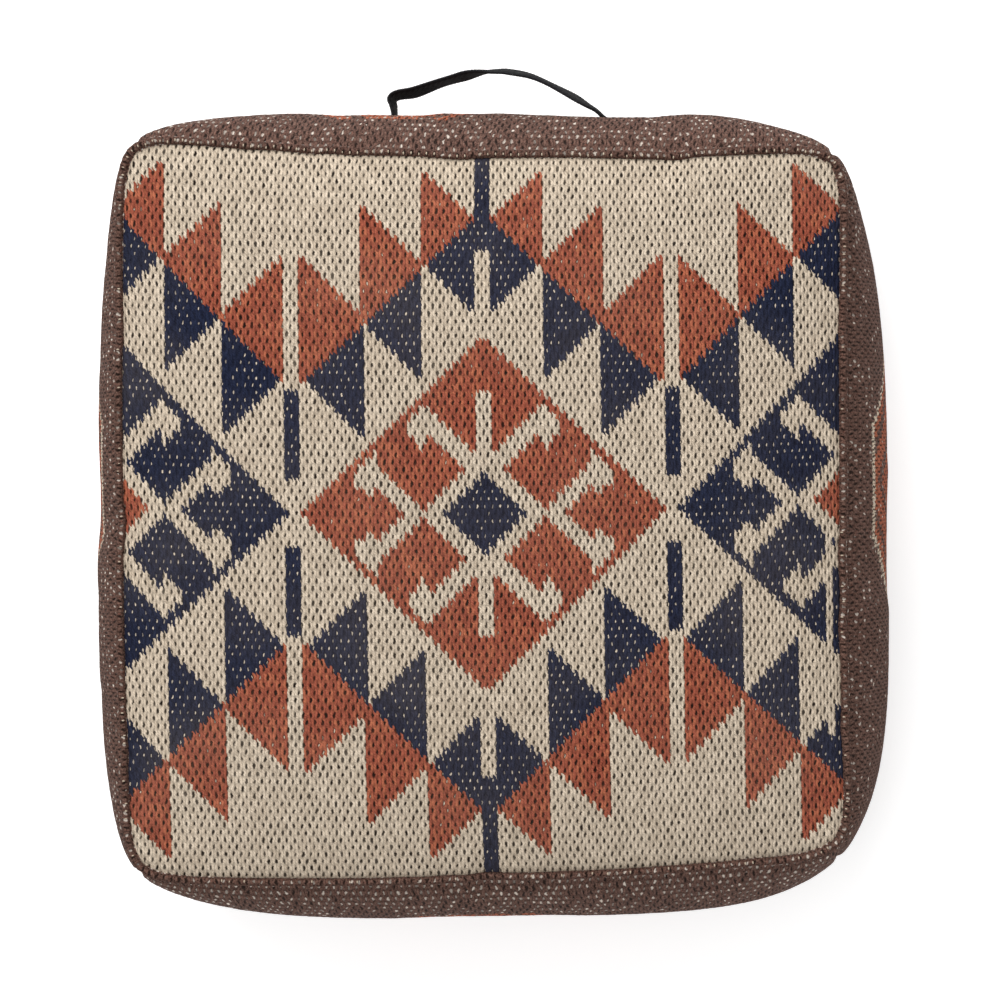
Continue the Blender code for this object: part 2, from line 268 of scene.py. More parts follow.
def kilim(across, along):
    # Terracotta and navy masks of the face pattern at a stitch's centre; the rest is cream
    half = pattern["repeat"] / 2
    far = abs(across)
    onSide = far > half
    xm = abs(far - onSide * pattern["repeat"])
    y = abs(along)
    total, lift, fall = xm + y, y - xm, xm - y
    within = total < pattern["zigzag"]
    # bands of teeth on either side of the zigzag
    stem = (xm < 1.0) & inside(y, 26.0, 36.0)
    navyTeeth = (xm < 8.0) & (lift > 26.0) & (1.0 - stem)
    navyTeeth = navyTeeth | (inside(xm, 8.0, 15.7) & (lift > 10.2))
    navyTeeth = navyTeeth | (inside(xm, 15.7, 23.8) & (lift > -5.6))
    navyBar = (xm > 23.8) & inside(y, 4.6, 17.0)
    navySpine = (xm < 1.0) & (y > 39.0)
    redTeeth = inside(xm, 1.0, 8.0) & (lift < 39.0)
    redTeeth = redTeeth | (inside(xm, 8.0, 15.8) & (lift < 26.0))
    redTeeth = redTeeth | (inside(xm, 15.8, 23.8) & (lift < 10.8))
    # medallion with its hooks
    medallion = total < pattern["medallion"]
    low, high = pattern["ring"]
    core = total < low
    reach = total < pattern["hookReach"]
    outer = total > high
    arms = (inside(lift, 3.6, 6.9) | inside(fall, 7.3, 10.3)) & reach & outer
    bar = (xm < 1.0) & inside(y, 7.0, 16.6)

    def hook(a, b):
        under = (b > (a * 1.7 - 5.05)) | (b > 10.25)
        tooth = b > (a * -2.25 + 26.55)
        return inside(a, 7.4, 10.0) & under & tooth & ((a + b) < pattern["hookReach"])

    hooks = hook(xm, y) | hook(xm - 6.8, y + 6.6)
    creamwork = inside(total, low, high) | arms | bar | hooks
    ground = medallion & (1.0 - creamwork) & (1.0 - core)
    navy = (within & navyTeeth) | navyBar | navySpine
    red = (1.0 - within) & redTeeth
    navy = (navy & (1.0 - medallion)) | (ground & onSide) | (core & (1.0 - onSide))
    red = (red & (1.0 - medallion)) | (ground & (1.0 - onSide)) | (core & onSide)
    return red, navy


def plies(stitch):
    # Fine plies across a stitch, from 0 to 1
    twist = (stitch.fromAcross * 7.0 + stitch.fromAlong * 16.0 + stitch.luck * 6.0).math("SINE")
    return twist * 0.5 + 0.5


def faceMaterial():
    sheet = Sheet("woven face", 0.95)
    across, along = sheet.clothPlace()
    place = sheet.vector(across, along)
    # yarns wander a little, so no stitch has a ruled edge
    across = across + (sheet.noise(place, 1.3, 3.0, 0.6) - 0.5) * 0.50
    along = along + (sheet.noise(place, 1.0, 3.0, 0.6) - 0.5) * 0.62
    stitch = Stitch(sheet, across, along)
    red, navy = kilim(stitch.centreAcross, stitch.centreAlong)
    selvedge = inside(stitch.centreAcross, 45.6, 46.6) & inside(stitch.centreAlong, -33.0, -3.0)
    red, navy = red & (1.0 - selvedge), navy & (1.0 - selvedge)
    ply = plies(stitch)
    fibre = sheet.noise(place, 6.5, 3.0, 0.6)
    shade = stitch.luck * 0.48 + sheet.span(fibre, 0.25, 0.75) * 0.70 - 0.06 + (ply - 0.5) * 0.26
    cream = sheet.mix(shade, colours["creamDark"], colours["cream"])
    clay = sheet.mix(shade, colours["terracottaDark"], colours["terracotta"])
    # lighter orange: painted highlight in patches from the noise, and tone that differs at random on
    # strands picked by chance
    ember = sheet.span(sheet.noise(place, 2.6, 2.0), 0.56, 0.70)
    clay = sheet.mix(ember * 0.40 + (stitch.luck > 0.72) * 0.20, clay, colours["ember"])
    dark = sheet.mix(shade, colours["navyDark"], colours["navy"])
    colour = sheet.mix(navy, sheet.mix(red, cream, clay), dark)
    # painted shade: the cloth darkens towards the hole colour at the edges between strands
    creviceShade = (1.0 - stitch.body) * (1.0 - navy * 0.5) * sheet.span(fibre, 0.30, 0.70, 0.40, 0.85)
    colour = sheet.mix(creviceShade * 0.95, colour, sheet.mix(0.72, colour, colours["hole"]))
    # painted shade: the holes between strands get near-black, for the shadow inside them
    hole = stitch.hole(sheet, stitch.holeLuck * 0.08 + 0.095, stitch.holeLuck * 0.15 + 0.25)
    shut = sheet.chance(sheet.vector(stitch.holeSlant, stitch.holeCounter), 5.0) * 0.30 + 0.72
    colour = sheet.mix(hole * (1.0 - navy) * shut, colour, colours["hole"])
    # pale weft shows through: nearly everywhere in the navy, seldom in the terracotta
    odd = stitch.holeRow.math("PINGPONG", 1.0)
    dotShare = navy * (odd * 0.25 + 0.62) + red * 0.07
    spot = sheet.chance(sheet.vector(stitch.holeSlant, stitch.holeCounter), 9.0)
    dot = stitch.hole(sheet, 0.095, 0.23) * (stitch.holeLuck < dotShare) * (spot * 0.65 + 0.30)
    colour = sheet.mix(dot * (red | navy), colour, colours["cream"])
    broad = sheet.noise(sheet.objectPlace(), 9.0, 2.0)
    colour = sheet.mix((broad - 0.35) * 0.20, colour, colours["creamDark"])
    sheet.feed("Base Color", colour)
    height = stitch.body * 0.9 + ply * 0.12 + fibre * 0.40 - hole * (1.0 - navy) * 0.8
    sheet.bump(height, 0.0014, 1.0)
    return sheet.material


def sideMaterial(name, shiftAcross, shiftAlong, outlined, flecked):
    # Brown cloth with pale flecks, and a cut-off medallion whose middle is given in stitches
    sheet = Sheet(name, 0.95)
    across, along = sheet.clothPlace()
    place = sheet.vector(across, along)
    across = across + (sheet.noise(place, 1.5, 2.0) - 0.5) * 0.7
    along = along + (sheet.noise(place, 1.2, 2.0) - 0.5) * 0.9
    stitch = Stitch(sheet, across, along)
    ply = plies(stitch)
    mottle = sheet.noise(place, 3.4, 3.0, 0.65)
    shade = stitch.luck * 0.25 + sheet.span(mottle, 0.30, 0.72) * 0.75
    colour = sheet.mix(shade, colours["brown"], colours["brownLight"])
    rust = sheet.span(sheet.noise(place, 2.2, 2.0), 0.60, 0.72)
    colour = sheet.mix(rust * 0.35, colour, colours["terracottaDark"])
    # medallion: a long hexagon in bands
    a, b = abs(stitch.centreAcross - shiftAcross), abs(stitch.centreAlong - shiftAlong)
    hexagon = (a + b - 7.0) | b
    band = hexagon - 11.0
    clay = sheet.mix(shade, colours["terracottaDark"], colours["terracotta"])
    cream = sheet.mix(shade, colours["creamDark"], colours["cream"])
    clay = sheet.mix(0.25, clay, colours["ember"])
    stripes = (band < 0.0) & ((a + b).math("PINGPONG", 3.0) < 2.1)
    colour = sheet.mix(stripes, colour, clay)
    colour = sheet.mix(inside(band, 0.0, 1.1) * outlined, colour, cream)
    dark = sheet.mix(shade, colours["navyDark"], colours["navy"])
    colour = sheet.mix(band < -8.5, colour, dark)
    # painted shade: darker towards the crevices between strands and in the sunk pits
    creviceShade = (1.0 - stitch.body) * sheet.span(mottle, 0.35, 0.65, 0.55, 1.00)
    colour = sheet.mix(creviceShade * 0.85, colour, colours["brownPaintedShade"])
    shadedPits = sheet.span(sheet.noise(place, 4.2, 2.0, 0.5), 0.36, 0.46, 1.0, 0.0)
    colour = sheet.mix(shadedPits * 0.70, colour, colours["brownPaintedShade"])
    hole = stitch.hole(sheet, stitch.holeLuck * 0.06 + 0.09, stitch.holeLuck * 0.2 + 0.22)
    crowd = sheet.noise(place, 0.16, 2.0)
    edge = sheet.span(stitch.centreAlong, -12.0, -1.0, 0.0, flecked)
    share = sheet.span(crowd, 0.40, 0.66, 0.05, 0.26) + edge
    spot = sheet.chance(sheet.vector(stitch.holeSlant, stitch.holeCounter), 9.0)
    # painted shade: near-black in the holes, for the shadow inside them
    colour = sheet.mix(hole * 0.75, colour, colours["hole"])
    dot = stitch.hole(sheet, 0.165, 0.30) * (stitch.holeLuck < share) * (spot * 0.8 + 0.25)
    colour = sheet.mix(dot, colour, colours["fleck"])
    sheet.feed("Base Color", colour)
    height = stitch.body * 0.8 + ply * 0.1 + mottle * 0.8 - shadedPits * 0.3 - hole * 0.6
    sheet.bump(height, 0.0013, 1.0)
    return sheet.material


def plainWeaveMaterial(name, dark, light, pitch):
    # Close plain weave that follows the piece's own place
    sheet = Sheet(name, 0.9, sheen=0.1)
    place = sheet.objectPlace()
    x, y, z = sheet.split(place)
    turn = 2 * math.pi / pitch
    over = ((x + z) * turn).math("SINE") * ((y + z) * turn).math("SINE")
    noise = sheet.noise(place, 240.0, 3.0)
    colour = sheet.mix(over * 0.3 + noise * 0.7, dark, light)
    sheet.feed("Base Color", colour)
    sheet.bump(over * 0.5 + noise, 0.0004, 0.7)
    return sheet.material


def grainyMaterial(name, shades, finish, grain, gloss=None, relief=None):
    # Two shades in a fine grain. Finish is roughness, metallic and sheen; grain is the noise's scale,
    # detail and roughness; gloss is the least roughness and its spread; relief is depth and strength
    sheet = Sheet(name, *finish)
    noise = sheet.noise(sheet.objectPlace(), *grain)
    sheet.feed("Base Color", sheet.mix(noise, *shades))
    if gloss:
        sheet.feed("Roughness", gloss[0] + noise * gloss[1])
    if relief:
        sheet.bump(noise, *relief)
    return sheet.material


def webbingMaterial():
    # Black webbing: chevrons of fine yarn, with a painted highlight that lightens its edges
    sheet = Sheet("webbing", 0.85)
    across, along = sheet.clothPlace()
    chevron = (along * 4.2 + (across * 0.5).math("PINGPONG", 1.0) * 4.2).math("SINE")
    yarns = (across * 9.0).math("SINE")
    noise = sheet.noise(sheet.vector(across, along), 5.0, 3.0)
    shade = chevron * 0.25 + yarns * 0.15 + noise * 0.6
    colour = sheet.mix(shade, (0.0022, 0.0022, 0.0026), (0.0125, 0.0125, 0.0140))
    # painted highlight: lighter along both edges of the webbing
    edge = sheet.span(abs(across), 3.7, 4.3)
    colour = sheet.mix(edge * 0.25, colour, (0.04, 0.04, 0.043))
    sheet.feed("Base Color", colour)
    sheet.feed("Roughness", 0.70 + noise * 0.25)
    sheet.bump(chevron * 0.5 + yarns * 0.4 + noise * 0.3, 0.0004, 0.8)
    return sheet.material


def swell(level):
    return np.clip(4 * level * (1 - level), 0, None) ** 0.8


def outline(along, half, squareness):
    # Reach of a rounded square's side at along, from -1 to 1, corner to corner
    return half / (1 + np.abs(along) ** squareness) ** (1 / squareness)


sideTurns = {"front": -90, "right": 0, "back": 90, "left": 180}

# How far out each side stands from the even form, first along the top seam and then at the
# belly: at the middle, its slope, and its bow towards the corners, going anticlockwise
stands = {
    "front": ((-0.0015, -0.0090, -0.0105), (0.0060, -0.0012, -0.0135)),
    "right": ((-0.0025, 0.0005, 0.0020), (-0.0008, -0.0030, -0.0165)),
    "back": ((-0.0010, 0.0085, 0.0070), (0.0025, 0.0015, -0.0088)),
    "left": ((0.0010, 0.0010, -0.0055), (-0.0035, 0.0038, -0.0126)),
}


def sidePoints(side, along, level):
    half = seamHalf + (cover["bellyHalf"] - seamHalf) * swell(level)
    blend = np.clip(4 * level * (1 - level), 0, None) ** 0.6
    squareness = cover["seamCorner"] + (cover["bellyCorner"] - cover["seamCorner"]) * blend
    reach = outline(along, half, squareness)
    turn = math.radians(sideTurns[side])
    x, y = reach, along * reach
    z = cover["baseSeamZ"] + (cover["topSeamZ"] - cover["baseSeamZ"]) * level
    return np.stack([x * math.cos(turn) - y * math.sin(turn),
                     x * math.sin(turn) + y * math.cos(turn) + middleY, z + 0 * x], -1)


def planPoints(across, along):
    largest = np.maximum(np.maximum(np.abs(across), np.abs(along)), 1e-9)
    least = np.minimum(np.abs(across), np.abs(along))
    reach = outline(least / largest, seamHalf, cover["seamCorner"])
    return across * reach, along * reach + middleY


def topPoints(across, along):
    x, y = planPoints(across, along)
    fall = np.clip((1 - across**4) * (1 - along**4), 0, None) ** 0.75
    return np.stack([x, y, cover["topSeamZ"] + (cover["crownZ"] - cover["topSeamZ"]) * fall], -1)


def basePoints(across, along):
    x, y = planPoints(across, along)
    kept = 1.0
    for share in (np.abs(across), np.abs(along)):
        kept = kept * (1 - (np.clip(share - cover["flatShare"], 0, None) / (1 - cover["flatShare"])) ** 2)
    return np.stack([x, y, cover["baseSeamZ"] * (1 - kept)], -1)


def smooth(value):
    value = np.clip(value, 0, 1)
    return value * value * (3 - 2 * value)


def drawIn(points):
    # Moves points of the cover as its uneven seams draw them in
    moved = points.copy()
    height = points[..., 2]
    high = smooth((height - cover["shoulder"]) / (cover["topSeamZ"] - cover["shoulder"]))
    level = np.clip((height - cover["baseSeamZ"]) / (cover["topSeamZ"] - cover["baseSeamZ"]), 0, 1)
    middle = 4 * level * (1 - level)
    flat = points[..., :2] - np.array([0, middleY])
    for side, (seam, belly) in stands.items():
        turn = math.radians(sideTurns[side])
        out = np.array([math.cos(turn), math.sin(turn)])
        way = np.clip(flat @ np.array([-math.sin(turn), math.cos(turn)]) / seamHalf, -1.1, 1.1)
        near = smooth((flat @ out - 0.10) / (seamHalf - 0.10))
        amount = (seam[0] + seam[1] * way + seam[2] * way**2) * high
        amount = amount + (belly[0] + belly[1] * way + belly[2] * way**2) * middle
        moved[..., :2] += (amount * near)[..., None] * out
    return moved


# The sewing of the handle draws the cloth in: place across, height, width, tall, depth
dimples = [(-0.089, 0.093, 0.032, 0.026, 0.0080), (0.106, 0.093, 0.036, 0.027, 0.0105)]


def dimpled(grid):
    # The back side with the handle's sewing drawn in
    fine = refineGrid(grid, 161, 49)
    for x, z, wide, tall, depth in dimples:
        near = np.exp(-((fine[..., 0] - x) / wide) ** 2 - ((fine[..., 2] - z) / tall) ** 2)
        fine[..., 1] -= depth * near
    return fine


def cageGrids():
    # The cover's panels as coarse grids of points that share their seams
    line = np.linspace(-1, 1, cover["cageColumns"] + 1)
    rise = np.linspace(0, 1, cover["cageRows"] + 1)
    across, along = np.meshgrid(line, line, indexing="ij")
    grids = {"top": topPoints(across, along), "base": basePoints(across, along)}
    edge, level = np.meshgrid(line, rise, indexing="ij")
    for side in sideTurns:
        grids[side] = sidePoints(side, edge, level)
    return {name: drawIn(points) for name, points in grids.items()}


def weldGrids(grids):
    # One list of points for all the panels, and each panel's indices into it
    found, points, indices = {}, [], {}
    for name, grid in grids.items():
        table = np.zeros(grid.shape[:2], int)
        for place in np.ndindex(table.shape):
            key = tuple(np.round(grid[place], 5))
            if key not in found:
                found[key] = len(points)
                points.append(grid[place])
            table[place] = found[key]
        indices[name] = table
    return np.array(points), indices


def linked(name, data):
    # A new object for the data, in the scene
    thing = bpy.data.objects.new(name, data)
    bpy.context.scene.collection.objects.link(thing)
    return thing


def simulateCover(grids):
    # Fills the cover with pressure so that the cloth ripples, and caps how far it drifts
    points, indices = weldGrids(grids)
    faces = []
    for name, table in indices.items():
        quads = np.stack([table[:-1, :-1], table[1:, :-1], table[1:, 1:], table[:-1, 1:]], -1)
        quads = quads.reshape(-1, 4)
        faces += (quads[:, ::-1] if name == "base" else quads).tolist()
    mesh = bpy.data.meshes.new("cage")
    mesh.from_pydata(points.tolist(), [], faces)
    cage = linked("cage", mesh)
    pinned = cage.vertex_groups.new(name="onFloor")
    pinned.add([int(i) for i in np.where(points[:, 2] < 0.0005)[0]], 1.0, "REPLACE")
    seams = set(indices["top"][0, :]) | set(indices["top"][-1, :]) | set(indices["top"][:, 0])
    seams = seams | set(indices["top"][:, -1])
    pinned.add([int(i) for i in seams], cover["seamHold"], "REPLACE")
    cloth = cage.modifiers.new("Cloth", "CLOTH")
    settings = cloth.settings
    settings.quality = 6
    settings.mass = 0.4
    settings.tension_stiffness = settings.compression_stiffness = 25
    settings.shear_stiffness = 12
    settings.bending_stiffness = 1.2
    settings.use_pressure = True
    settings.uniform_pressure_force = cover["pressure"]
    settings.shrink_min = -cover["slack"]
    settings.vertex_group_mass = "onFloor"
    settings.effector_weights.gravity = 0.0
    cloth.point_cache.frame_end = cover["steps"] + 1
    for step in range(1, cover["steps"] + 1):
        bpy.context.scene.frame_set(step)
    graph = bpy.context.evaluated_depsgraph_get()
    settled = np.zeros(len(points) * 3, np.float32)
    cage.evaluated_get(graph).data.vertices.foreach_get("co", settled)
    bpy.context.scene.frame_set(1)
    bpy.data.objects.remove(cage)
    drift = settled.reshape(-1, 3) - points
    outward = points - np.array([0, middleY, points[:, 2].mean()])
    outward[:, 2] = 0
    outward /= np.maximum(np.linalg.norm(outward, axis=1, keepdims=True), 1e-9)
    onSides = np.unique(np.concatenate([indices[side].reshape(-1) for side in sideTurns]))
    shrunk = float((drift[onSides] * outward[onSides]).sum(1).mean())
    print("cover drew in by", round(-shrunk * 1000, 2), "mm")
    drift[onSides] -= shrunk * outward[onSides]
    far = np.linalg.norm(drift, axis=1, keepdims=True)
    drift = drift * np.tanh(far / cover["cap"]) * cover["cap"] / np.maximum(far, 1e-9)
    print("cover settled, furthest drift", round(float(far.max()) * 1000, 1), "mm before the cap")
    settled = points + drift
    settled[:, 2] = np.maximum(settled[:, 2], 0.0)
    return {name: settled[table] for name, table in indices.items()}


def refine(points, count):
    # A smooth curve through rows of points, read again at count even steps
    last = len(points) - 1
    place = np.linspace(0, last, count)
    start = np.minimum(place.astype(int), last - 1)
    s = (place - start).reshape(-1, *[1] * (points.ndim - 1))
    ends = 2 * points[:1] - points[1:2], 2 * points[-1:] - points[-2:-1]
    row = np.concatenate([ends[0], points, ends[1]])
    a, b, c, d = row[start], row[start + 1], row[start + 2], row[start + 3]
    bend, twist = 2 * a - 5 * b + 4 * c - d, 3 * b - a - 3 * c + d
    return 0.5 * (2 * b + (c - a) * s + bend * s**2 + twist * s**3)


def refineGrid(grid, columns, rows):
    return refine(refine(grid, columns).swapaxes(0, 1), rows).swapaxes(0, 1)


def normalsOf(grid):
    du, dv = np.gradient(grid, axis=0), np.gradient(grid, axis=1)
    normals = np.cross(du, dv)
    return normals / np.maximum(np.linalg.norm(normals, axis=-1, keepdims=True), 1e-12)


def clothPlaces(grid, plan):
    # Distances along the cloth, which on a slope run ahead of the plan's
    extra = []
    for axis in (0, 1):
        step = np.diff(grid, axis=axis)
        flat = np.linalg.norm(step[..., :2] if plan else step, axis=-1)
        excess = np.linalg.norm(step, axis=-1) - flat
        total = np.concatenate([np.zeros_like(excess.take([0], axis)), np.cumsum(excess, axis)], axis)
        extra.append(total - total.take([total.shape[axis] // 2], axis))
    return grid[..., 0] + extra[0], grid[..., 1] - middleY + extra[1]


def stitchRelief(across, along, seed):
    # The cloth's surface as heights up to 1, sunk at the holes, each a little different
    u, v = across + along / 2 - 0.5, across - along / 2 - 0.5
    iu, iv = np.round(u), np.round(v)
    hx, hy = (u - iu + v - iv) / 2, (u - iu) - (v - iv)
    luck = np.sin(iu * 12.9898 + iv * 78.233 + seed) * 43758.5453
    luck = luck - np.floor(luck)
    sway = 0.15 * np.sin(across * 1.7 + seed) * np.sin(along * 1.3)
    return 1 - (0.6 + 0.5 * luck) * np.exp(-((hx / 0.30) ** 2) - ((hy / 0.50) ** 2)) + sway


def gridMesh(name, grid, uv, material, closed=False):
    # A mesh object from a grid of points, with a UV map in the cloth's own units
    columns, rows = grid.shape[:2]
    index = np.arange(columns * rows).reshape(columns, rows)
    if closed:
        index = np.concatenate([index, index[:1]])
        uv = np.concatenate([uv, uv[:1] + [[closed, 0]]])
    quads = np.stack([index[:-1, :-1], index[1:, :-1], index[1:, 1:], index[:-1, 1:]], -1).reshape(-1, 4)
    corners = np.stack([uv[:-1, :-1], uv[1:, :-1], uv[1:, 1:], uv[:-1, 1:]], 2).reshape(-1, 2)
    mesh = bpy.data.meshes.new(name)
    mesh.vertices.add(columns * rows)
    mesh.vertices.foreach_set("co", grid.reshape(-1).astype(np.float32))
    mesh.loops.add(quads.size)
    mesh.loops.foreach_set("vertex_index", quads.reshape(-1).astype(np.int32))
    mesh.polygons.add(len(quads))
    mesh.polygons.foreach_set("loop_start", np.arange(0, quads.size, 4, dtype=np.int32))
    mesh.polygons.foreach_set("use_smooth", np.ones(len(quads), bool))
    mesh.update(calc_edges=True)
    layer = mesh.uv_layers.new(name="cloth")
    layer.data.foreach_set("uv", corners.reshape(-1).astype(np.float32))
    mesh.materials.append(material)
    return linked(name, mesh)


def edgeFall(count, steps, depth):
    # How far each row sinks near its two ends
    near = np.minimum(np.arange(count), count - 1 - np.arange(count))
    return depth * (1 - smooth(near / steps))


def turnedRim(grid, depth):
    # Adds a row all round that turns the cloth's edge inwards
    normals = normalsOf(grid)
    inner = grid - normals * depth
    wide = np.concatenate([inner[:1], grid, inner[-1:]])
    tall = np.concatenate([inner[:, :1], grid, inner[:, -1:]], 1)
    full = np.zeros((grid.shape[0] + 2, grid.shape[1] + 2, 3))
    full[1:-1, 1:-1] = grid
    full[0, 1:-1], full[-1, 1:-1] = wide[0], wide[-1]
    full[1:-1, 0], full[1:-1, -1] = tall[:, 0], tall[:, -1]
    for i, j in ((0, 0), (0, -1), (-1, 0), (-1, -1)):
        full[i, j] = (full[i, 1 if j == 0 else -2] + full[1 if i == 0 else -2, j]) / 2
    return full


def rimmed(values):
    return np.pad(values, ((1, 1), (1, 1), (0, 0)), mode="edge")


def askew(x, y):
    # Stitch counts at a place on the face, where the cloth lies unevenly stretched
    centreX, centreY = weave["pullCentre"]
    a, b = (x - centreX) / weave["pullReach"], (y - centreY) / weave["pullReach"]
    ofX, ofY = weave["pull"]
    terms = (1.0, a, b, a * a, a * b, b * b)
    x = x + sum(k * term for k, term in zip(ofX, terms)) / 1000
    y = y + sum(k * term for k, term in zip(ofY, terms)) / 1000
    across = (x + y * math.tan(math.radians(weave["columnLean"]))) / weave["grainPitch"]
    along = (y - x * math.tan(math.radians(weave["rowLean"]))) / weave["rowPitch"]
    return across - weave["shiftAcross"], along - weave["shiftAlong"]


def makeFace(grid, material):
    columns = int(2 * seamHalf / weave["meshAcross"])
    rows = int(2 * seamHalf / weave["meshAlong"])
    fine = refineGrid(grid, columns, rows)
    x, y = clothPlaces(fine, True)
    across, along = askew(x, y)
    relief = stitchRelief(across, along, 1.0) * weave["relief"] * 0.8
    sink = edgeFall(columns, 4, 0.0022)[:, None] + edgeFall(rows, 4, 0.0022)[None, :]
    fine = fine + normalsOf(fine) * (relief - weave["relief"])[..., None]
    fine[..., 2] -= np.minimum(sink, 0.0024)
    uv = np.stack([across, along], -1)
    return gridMesh("faceCloth", turnedRim(fine, weave["rim"]), rimmed(uv), material)


def makeSide(side, grid, material):
    columns = int(2 * seamHalf / weave["meshAcross"] / 1.25)
    height = 0.200          # of the cloth between the seams, for the mesh
    rows = int(height / weave["meshAlong"] / 1.1)
    fine = refineGrid(grid, columns, rows)
    step = np.linalg.norm(np.diff(fine, axis=1), axis=-1)
    climb = np.concatenate([np.zeros((columns, 1)), np.cumsum(step, 1)], 1)
    climb = climb[:, -1:] - climb
    step = np.linalg.norm(np.diff(fine, axis=0), axis=-1)
    walk = np.concatenate([np.zeros((1, rows)), np.cumsum(step, 0)], 0)
    walk = walk - walk[columns // 2]
    across, along = walk / weave["grainPitch"], -climb / weave["rowPitch"] / weave["tall"][side]
    relief = stitchRelief(across, along, 5.0 + sideTurns[side]) * weave["relief"] * 0.5
    sink = edgeFall(columns, 5, 0.0022)[:, None] + edgeFall(rows, 2, 0.0016)[None, :]
    relief = relief - 0.8 * weave["relief"] - np.minimum(sink, 0.0034)
    fine = fine + normalsOf(fine) * relief[..., None]
    uv = np.stack([across, along], -1)
    name = "sideCloth" + side.capitalize()
    return gridMesh(name, turnedRim(fine, weave["rim"]), rimmed(uv), material)


def welded(thing, gap, capped=False):
    # Joins the mesh's points that meet, and closes its open ends if asked
    bm = bmesh.new()
    bm.from_mesh(thing.data)
    bmesh.ops.remove_doubles(bm, verts=bm.verts, dist=gap)
    if capped:
        bmesh.ops.holes_fill(bm, edges=bm.edges, sides=0)
    bmesh.ops.recalc_face_normals(bm, faces=bm.faces)
    bm.to_mesh(thing.data)
    bm.free()


seamRoll = {
    "radius": 0.0030,
    "out": 0.0014,
    "drop": 0.0014,
    "rings": 12,
    "pip": (0.0011, 0.0022, 0.0018),
    "pipJitter": 0.0008,
    "pipsKept": {True: (0.80, 0.22), False: (0.22, 0.22)},  # behind and round, for the top and the base
}


def seamLine(grids, top):
    # The closed seam line as evenly stepped points, with the way out from the cover at each
    grid = grids["top" if top else "base"]
    loop = np.concatenate([grid[:-1, 0], grid[-1, :-1], grid[:0:-1, -1], grid[0, :0:-1]])
    loop = np.concatenate([loop, loop[:1]])
    fine = refine(loop, 40 * len(loop))
    length = np.concatenate([[0], np.cumsum(np.linalg.norm(np.diff(fine, axis=0), axis=1))])
    count = int(length[-1] / weave["meshAcross"])
    even = np.linspace(0, length[-1], count + 1)[:-1]
    line = np.stack([np.interp(even, length, fine[:, k]) for k in range(3)], -1)
    tangent = np.roll(line, -3, 0) - np.roll(line, 3, 0)
    tangent /= np.linalg.norm(tangent, axis=1, keepdims=True)
    out = np.cross(tangent, [0, 0, 1])
    out /= np.linalg.norm(out, axis=1, keepdims=True)
    return line, out, length[-1]


def makeSeamRoll(name, grids, top, material):
    line, out, length = seamLine(grids, top)
    way = 1 if top else -1
    centre = line + out * seamRoll["out"]
    centre[:, 2] -= way * seamRoll["drop"]
    place = np.arange(len(line)) / len(line) * length / weave["grainPitch"]
    swelling = 1 + 0.06 * np.cos(2 * math.pi * place)
    swelling = swelling + 0.05 * np.sin(place * 0.37) + 0.04 * np.sin(place * 1.13)
    rings = seamRoll["rings"]
    angle = np.arange(rings + 1) / rings * 2 * math.pi
    radius = seamRoll["radius"] * swelling[:, None]
    grid = (centre[:, None] + (np.cos(angle)[None, :] * radius)[..., None] * out[:, None]
            + (np.sin(angle)[None, :] * radius)[..., None] * np.array([0, 0, 1.0]))
    grid[..., 2] = np.maximum(grid[..., 2], cover["floorGap"])
    uv = np.stack(np.broadcast_arrays(place[:, None], angle[None, :] * 0.6 - 3.0), -1).copy()
    thing = gridMesh(name, grid, uv, material, closed=length / weave["grainPitch"])
    welded(thing, 0.00001)
    return thing, line, out


def nodeTree(name, labels):
    # A geometry tree with a number for each label, and the functions that add nodes and close it
    tree = bpy.data.node_groups.new(name, "GeometryNodeTree")
    tree.interface.new_socket("Geometry", in_out="INPUT", socket_type="NodeSocketGeometry")
    ids = {}
    for label in labels:
        socket = tree.interface.new_socket(label, in_out="INPUT", socket_type="NodeSocketFloat")
        ids[label] = socket.identifier
    tree.interface.new_socket("Geometry", in_out="OUTPUT", socket_type="NodeSocketGeometry")
    start, end = tree.nodes.new("NodeGroupInput"), tree.nodes.new("NodeGroupOutput")

    def add(kind, settings=None, values=None):
        made = tree.nodes.new(kind)
        for key, value in (settings or {}).items():
            setattr(made, key, value)
        for key, value in (values or {}).items():
            if isinstance(value, bpy.types.NodeSocket):
                tree.links.new(value, made.inputs[key])
            elif isinstance(value, str) and value in ids:
                tree.links.new(start.outputs[value], made.inputs[key])
            else:
                made.inputs[key].default_value = value
        return made

    def close(geometry, material):
        realized = add("GeometryNodeRealizeInstances", values={0: geometry})
        painted = add("GeometryNodeSetMaterial", values={0: realized.outputs[0], "Material": material})
        tree.links.new(painted.outputs[0], end.inputs[0])

    return tree, ids, start, add, close


def grown(name, points, tree, ids, values):
    # What a node tree makes of a path of points, as a plain mesh object; the path goes
    mesh = bpy.data.meshes.new(name + "Path")
    mesh.from_pydata([tuple(p) for p in points], [(i, i + 1) for i in range(len(points) - 1)], [])
    path = linked(name + "Path", mesh)
    modifier = path.modifiers.new("Nodes", "NODES")
    modifier.node_group = tree
    for label, value in values.items():
        modifier[ids[label]] = float(value)
    bpy.context.view_layer.update()
    graph = bpy.context.evaluated_depsgraph_get()
    made = linked(name, bpy.data.meshes.new_from_object(path.evaluated_get(graph)))
    bpy.data.objects.remove(path)
    made.data.shade_smooth()
    return made


